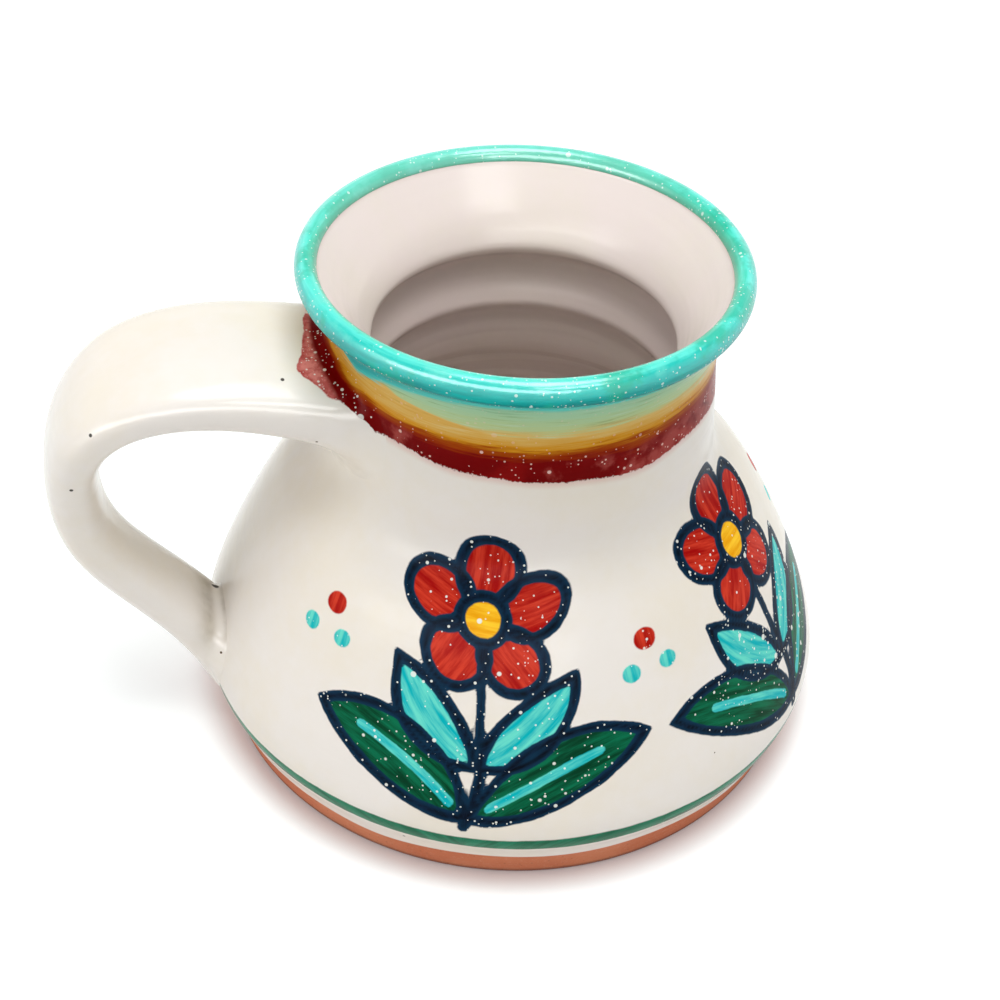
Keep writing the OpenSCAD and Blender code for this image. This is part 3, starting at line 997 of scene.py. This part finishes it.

# %% [markdown]
# ## Glaze of the handle
#
# The same white, with one smear of the lowest band's red where the brush ran on over the root: dark
# beside the band, thin and pinkish further out. The crease of the lower joint is darkened with painted
# shade, and a nick and three pits show dark.

# %% Handle glaze
strap_glaze, place = finish("strap_white_glaze")
colour, wave = glaze_ground(place, WARM_WHITE, COOL_WHITE)
# Painted shade, olive brown and uneven, in the crease of the lower joint
shade_mottle = stepped(noise(place, 0.35, 3.0), 0.3, 0.65, 0.3, 0.5)
colour = blended(times(mark(place, "painted_crease_shade"), shade_mottle), colour, (136, 122, 94))
nick_half, pit_half = (0.9, 0.8, 0.55), (0.36, 0.36, 0.36)
holes = [spot(place, middle, half) for middle, half in (
    ((-55.4, 2.2, 24.4), nick_half), ((-42.5, -10.5, 80.8), pit_half),
    ((-74.1, -12.1, 73.9), pit_half), ((-78.3, -10.4, 61.2), pit_half))]
colour = layered(colour, *((times(hole, 0.92), (34, 28, 22)) for hole in holes))

smeared = place_group(brush_group, Place=place, Distance=mark(place, "smear"), Waver=0.8)
mottle = stepped(noise(place, 0.6, 4.0, 0.65), 0.42, 0.62, 0.0, 0.65)
thin_red = layered((222, 134, 128), (mottle, (172, 52, 50)),
                   (times(smeared["Rim"], 0.45), (158, 40, 42)))
red = blended(stepped(mark(place, "off_wall"), 3.0, 4.1), (116, 2, 3), thin_red)
colour = blended(smeared["Cover"], colour, red)
colour, banded = neck_bands(place, colour, thin=0.3, amber=1.0, lip=-9.0, soaked=0.0)
painted = larger(smeared["Cover"], banded)
amount = maths("MULTIPLY_ADD", smeared["Cover"], 0.25, 0.3)
dull = larger(*holes, painted)
wear(strap_coat, strap_glaze, paint_height(painted, wave), {
    "Base Color": specked(place, colour, amount, times(painted, 0.85), (238, 236, 230)),
    "Roughness": 0.2,
    "Specular IOR Level": stepped(dull, 0.0, 1.0, 0.35, 0.03)})

# %% [markdown]
# ## Turquoise lip
#
# Glaze runs off a crest while it melts, so the lip is mint on top and deep teal underneath, and the
# colour also holds a painted highlight on the crest and painted shade underneath. A thin yellowish line
# marks where it ends inside. At the back it is painted paler, as a painted reflection. A broad sheen
# lies over the crest and none underneath, which a second, rougher coat on the shader gives.

# %% Lip glaze
lip_glaze, place = finish("turquoise_lip_glaze")
angle = mark(place, "lip_angle")
turn = fed("CombineXYZ", {2: times(angle, 0.035)})[0]
along = vectors("ADD", stretched(place, (0.09, 0.09, 0.0)), turn)[0]
streak = noise(along, 1.0, 4.0, 0.6)
dabs = noise(place, 0.13, 4.0, 0.6)
# The ramp's pale crest is partly a painted highlight, and its dark underside partly painted shade
colour = ramp(stray(angle, streak, 110.0), -70.0, 190.0, (
    (-60, (0, 114, 116)), (-25, (0, 158, 154)), (12, (2, 194, 186)), (45, (24, 210, 196)),
    (75, (96, 238, 222)), (100, (80, 232, 210)), (125, (26, 204, 168)), (160, (20, 190, 154)),
    (186, (70, 204, 164))))
# Pale dabs on the upper side of the lip, which also serve as a painted highlight
upper_side_highlight = stepped(angle, 10.0, 45.0, 0.0, 0.55)
# The back of the lip is painted paler, as a painted reflection
back_reflection = stepped(axis(place, 1), 5.0, 30.0, 0.0, 0.5)
colour = layered(
    colour,
    (stepped(dabs, 0.5, 0.64, 0.0, 0.65), (2, 182, 146)),
    (times(stepped(dabs, 0.47, 0.34), upper_side_highlight), (112, 232, 214)),
    (stepped(angle, 168.0, 178.0, 0.0, 0.5), (176, 210, 150)),
    (back_reflection, (138, 226, 206)))
wear(lip_band, lip_glaze, times(dabs, 0.3), {
    "Base Color": specked(place, colour, 0.36, 0.75, (226, 248, 240)),
    "Roughness": 0.21,
    "Specular IOR Level": stepped(angle, -20.0, 25.0, 0.06, 0.85),
    "Coat Weight": stepped(angle, 0.0, 40.0, 0.0, 0.35),
    "Coat Roughness": 0.38})

# %% [markdown]
# ## Liner and bare clay
#
# Inside, the glaze has a faint blush of the clay and shows the rings of the potter's fingers; painted
# shade darkens the throat and the wall under it, and the rings deeper down. The foot was wiped clean
# before firing: matt red clay with grit and the fine grooves of the turning tool, with a painted
# contact shadow along its low edge.

# %% Liner glaze
liner_glaze, place = finish("liner_white_glaze")
colour, wave = glaze_ground(place, (236, 226, 216), (237, 225, 220))
depth = maths("SUBTRACT", mug_h, axis(place, 2))
throwing = noise(stretched(place, (0.015, 0.015, 0.22)), 1.0, 2.0, 0.4)
# Painted shade in and below the throat, where the wall turns away from the light
throat_shade = times(stepped(depth, 14.0, 19.5), stepped(depth, 36.0, 30.0, 0.0, 0.42))
# Throwing rings, painted darker deeper down as shade
rings_and_deep_shade = times(stepped(throwing, 0.42, 0.6), stepped(depth, 26.0, 34.0, 0.0, 0.3))
colour = layered(colour, (spot(place, (28.5, 14.7, 87.5), (0.4, 0.4, 0.4)), (96, 78, 62)),
                 (throat_shade, (186, 166, 162)), (rings_and_deep_shade, (196, 178, 172)))
wear(liner, liner_glaze, maths("MULTIPLY_ADD", throwing, 0.3, times(wave, 0.25)),
     {"Base Color": colour, "Roughness": 0.26, "Specular IOR Level": 0.28})

# %% Bare terracotta
bare_clay, place = finish("bare_terracotta")
patch = noise(place, 0.07, 3.0, 0.6)
grain = noise(place, 1.6, 4.0, 0.7)
grit = stepped(cells(place, 0.8)[0], 0.2, 0.08, 0.0, 0.4)
# Painted contact shadow: the foot darkens along its lowest millimetre and a half
contact_shadow = stepped(axis(place, 2), 0.1, 1.6, 0.9, 0.0)
colour = layered((196, 103, 60), (stepped(patch, 0.35, 0.68), (206, 120, 78)),
                 (stepped(grain, 0.5, 0.8, 0.0, 0.45), (214, 150, 114)),
                 (grit, (132, 74, 50)), (contact_shadow, (48, 22, 16)))
grooves = noise(stretched(place, (0.05, 0.05, 1.4)), 1.0, 2.0)
wear(pot, bare_clay, maths("MULTIPLY_ADD", grooves, 0.12, times(grain, 0.1)),
     {"Base Color": colour, "Roughness": 0.82})

# %% [markdown]
# ## Floor, light and camera
#
# The mug was photographed on white, under a large soft light overhead and a weaker one at the side.
# The floor is white to the camera and keeps only the soft shadow, with a darker, reddish edge close to
# the foot that comes from ambient occlusion. Two more boxes make only the highlights, as a window and
# a lamp in front would, and reflections see a ceiling that is dimmer than the walls.


# %% Floor
def seen_rays(tree):
    """1 for what is seen by the camera, straight, in a reflection or through glass, and 0 for other rays."""
    rays = add_node(tree, "LightPath")
    return larger(rays["Is Camera Ray"], rays["Is Glossy Ray"], rays["Is Transmission Ray"])


floor_half = 1.5
floor_corners = [(x * floor_half, y * floor_half, 0) for x, y in ((-1, -1), (1, -1), (1, 1), (-1, 1))]
floor_mesh = bpy.data.meshes.new("floor")
floor_mesh.from_pydata(floor_corners, [], [(0, 1, 2, 3)])
floor = put("floor", floor_mesh)
white_floor, place = finish("white_floor")
tree = white_floor.node_tree
tree.nodes.remove(tree.nodes["Principled BSDF"])
plain = add_node(tree, "BsdfDiffuse", {"Color": (0.8, 0.8, 0.8, 1)})[0]
far = stepped(vectors("LENGTH", place)["Value"], 300.0, 900.0)
halo_reach = 0.009
near_edge = add_node(tree, "AmbientOcclusion", {"Distance": halo_reach})["AO"]
halo = blended(stepped(near_edge, 0.4, 1.0), (0.2, 0.12, 0.115, 1), (0.47, 0.43, 0.43, 1))
glow = fed("Emission", {"Color": blended(far, halo, (1, 1, 1, 1))})[0]
lit = blended(far, (0.66, 0.74, 0.74, 1), (0, 0, 0, 1))
shade = fed("BsdfDiffuse", {"Color": lit})[0]
shown = fed("AddShader", {0: glow, 1: shade})[0]
both = fed("MixShader", {0: seen_rays(tree), 1: plain, 2: shown})[0]
feed(tree.nodes["Material Output"], {"Surface": both})
floor_mesh.materials.append(white_floor)

# %% Sky and lamps
scene = bpy.context.scene
scene.view_settings.view_transform = "Standard"
world = bpy.data.worlds.new("white_room")
scene.world = world
world.use_nodes = True
tree = world.node_tree
sky_level, ceiling_level = 0.5, 0.2
heading = add_node(tree, "TexCoord")["Generated"]
room = stepped(axis(heading, 2), 0.3, 0.55, 1.0, ceiling_level)
level = fed("Mix", {0: seen_rays(tree), 2: sky_level, 3: room}, data_type="FLOAT")[0]
feed(tree.nodes["Background"], {"Color": (1, 1, 1, 1), "Strength": level})


def soft_box(name, place, wide, high, watts, highlight_only=False):
    """Area lamp of this width and height in metres that looks at the mug. One for highlights alone leaves
    the shading of matt surfaces as it is."""
    lamp = bpy.data.lights.new(name, "AREA")
    lamp.shape, lamp.size, lamp.size_y, lamp.energy = "RECTANGLE", wide, high, watts
    made = put(name, lamp)
    made.visible_diffuse = not highlight_only
    made.location = place
    made.rotation_mode = "QUATERNION"
    made.rotation_quaternion = (Vector((0, 0, 0.04)) - Vector(place)).to_track_quat("-Z", "Y")


soft_box("overhead", (0.05, -0.12, 1.2), 0.7, 0.7, 10.3)
soft_box("side", (-1.0, -0.25, 0.3), 0.6, 0.6, 1.5)
soft_box("front", (0.2, -0.7, 0.845), 0.45, 0.2, 2.6, highlight_only=True)
soft_box("window", (-0.56, -0.97, 0.5), 2.3, 0.45, 21.0, highlight_only=True)

# %% Camera
eye, aim = Vector((-0.0650, -0.2793, 0.2880)), Vector((-0.0032, -0.0016, 0.0423))
lean = np.radians(2.85)
back = (eye - aim).normalized()
level_right = Vector((0, 0, 1)).cross(back).normalized()
level_up = back.cross(level_right)
right = level_right * np.cos(lean) + level_up * np.sin(lean)
up = level_up * np.cos(lean) - level_right * np.sin(lean)
lens = bpy.data.cameras.new("camera")
lens.lens, lens.sensor_width = 74.5, 36.0
camera = put("camera", lens)
camera.matrix_world = Matrix.Translation(eye) @ Matrix((right, up, back)).transposed().to_4x4()
scene.camera = camera
